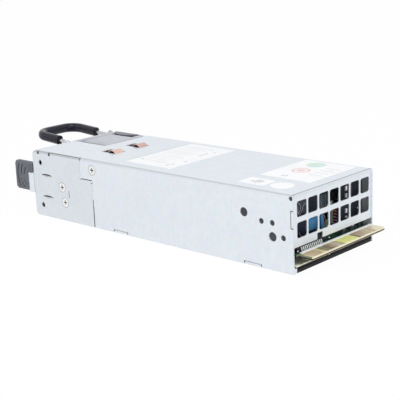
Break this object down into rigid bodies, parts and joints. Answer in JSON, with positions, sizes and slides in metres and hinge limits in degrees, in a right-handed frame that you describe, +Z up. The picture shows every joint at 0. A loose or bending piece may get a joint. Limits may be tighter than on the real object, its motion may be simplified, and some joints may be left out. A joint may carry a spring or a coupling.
{
  "type": "hot swap power supply module",
  "caption": "Slim steel power supply module with a fan, a mains inlet, a hinged bail and a side latch in front, and a vented rear with a contact tongue.",
  "frame": {"origin": "centre of the case's underside", "axes": "+X runs from the front, with inlet, fan and bail, to the rear with the contact tongue; +Y runs from the latch side to the fan side; +Z is up"},
  "size_m": [0.2456, 0.0694, 0.0427],
  "materials": {
    "case_steel": "satin",
    "spring_steel": "satin",
    "screw_steel": "satin",
    "cap_plastic": "satin",
    "grip_plastic": "satin",
    "black_plastic": "satin",
    "copper": "polished",
    "pin_metal": "polished",
    "light_pipe": "gloss",
    "film": "satin",
    "label_white": "matt",
    "board_green": "satin",
    "board_bare": "satin",
    "gold_plate": "polished",
    "ferrite": "matt",
    "blue_tape": "gloss",
    "sleeve_dark": "gloss",
    "box_yellow": "satin",
    "disc_blue": "gloss",
    "ceramic_tube": "matt",
    "heatsink": "satin",
    "coil_red": "gloss"
  },
  "bodies": {
    "case": {"board_chips": "black_plastic", "board_screws": "screw_steel", "board_standoffs": "screw_steel", "boost_core": "ferrite", "boost_winding": "copper", "bridge_rectifier": "black_plastic", "bulk_capacitor": "sleeve_dark", "chassis_tray": "case_steel", "choke_core": "ferrite", "choke_winding": "copper", "coil_core": "ferrite", "control_board": "board_green", "control_chips": "black_plastic", "cover": "case_steel", "cover_bush": "screw_steel", "disc_capacitors": "disc_blue", "fan_frame": "black_plastic", "fan_guard": "screw_steel", "fan_screws": "screw_steel", "fan_stator": "copper", "filter_board": "board_green", "front_bracket": "case_steel", "inlet_blades": "pin_metal", "inlet_body": "black_plastic", "input_heatsink": "heatsink", "insulator_sheet": "board_bare", "latch_root": "spring_steel", "leaf_mounts": "copper", "led_pipe": "light_pipe", "line_capacitor": "box_yellow", "line_fuse": "ceramic_tube", "lower_plates": "gold_plate", "main_board": "board_green", "main_label": "label_white", "output_capacitors": "sleeve_dark", "output_coil": "coil_red", "output_heatsink": "heatsink", "output_plates": "gold_plate", "rear_label": "label_white", "rear_sill": "black_plastic", "rear_vent_plate": "case_steel", "sense_plate": "gold_plate", "side_film": "film", "side_screws": "screw_steel", "signal_header": "black_plastic", "signal_legs": "pin_metal", "small_labels": "label_white", "solder_bar": "pin_metal", "standby_transformer": "box_yellow", "switch_transistors": "black_plastic", "transformer_core": "ferrite", "transformer_winding": "blue_tape"},
    "fan_wheel": {"fan_rotor": "black_plastic"},
    "bail": {"bail_wire": "screw_steel", "bail_grip": "grip_plastic"},
    "latch": {"latch_arm": "spring_steel", "latch_cap": "cap_plastic"},
    "near_leaf": {"ground_leaf_near": "copper"},
    "far_leaf": {"ground_leaf_far": "copper"}
  },
  "joints": [
    {"name": "fan_spin", "type": "hinge", "parent": "case", "child": "fan_wheel", "pos_m": [-0.0887, 0.01555, 0.0218], "axis": [1, 0, 0], "continuous": true},
    {"name": "bail_hinge", "type": "hinge", "parent": "case", "child": "bail", "pos_m": [-0.1027, 0.015, 0.0375], "axis": [0, -1, 0], "range_deg": [0, 84]},
    {"name": "latch_flex", "type": "hinge", "parent": "case", "child": "latch", "pos_m": [-0.0791, -0.033, 0.0189], "axis": [0, 0, -1], "range_deg": [0, 5], "stiffness_Nm_per_rad": 0.5},
    {"name": "near_leaf_flex", "type": "hinge", "parent": "case", "child": "near_leaf", "pos_m": [-0.0454, -0.0114, 0.0383], "axis": [0, -1, 0], "range_deg": [0, 5], "stiffness_Nm_per_rad": 0.1},
    {"name": "far_leaf_flex", "type": "hinge", "parent": "case", "child": "far_leaf", "pos_m": [-0.0454, 0.0084, 0.0383], "axis": [0, -1, 0], "range_deg": [0, 5], "stiffness_Nm_per_rad": 0.1}
  ]
}
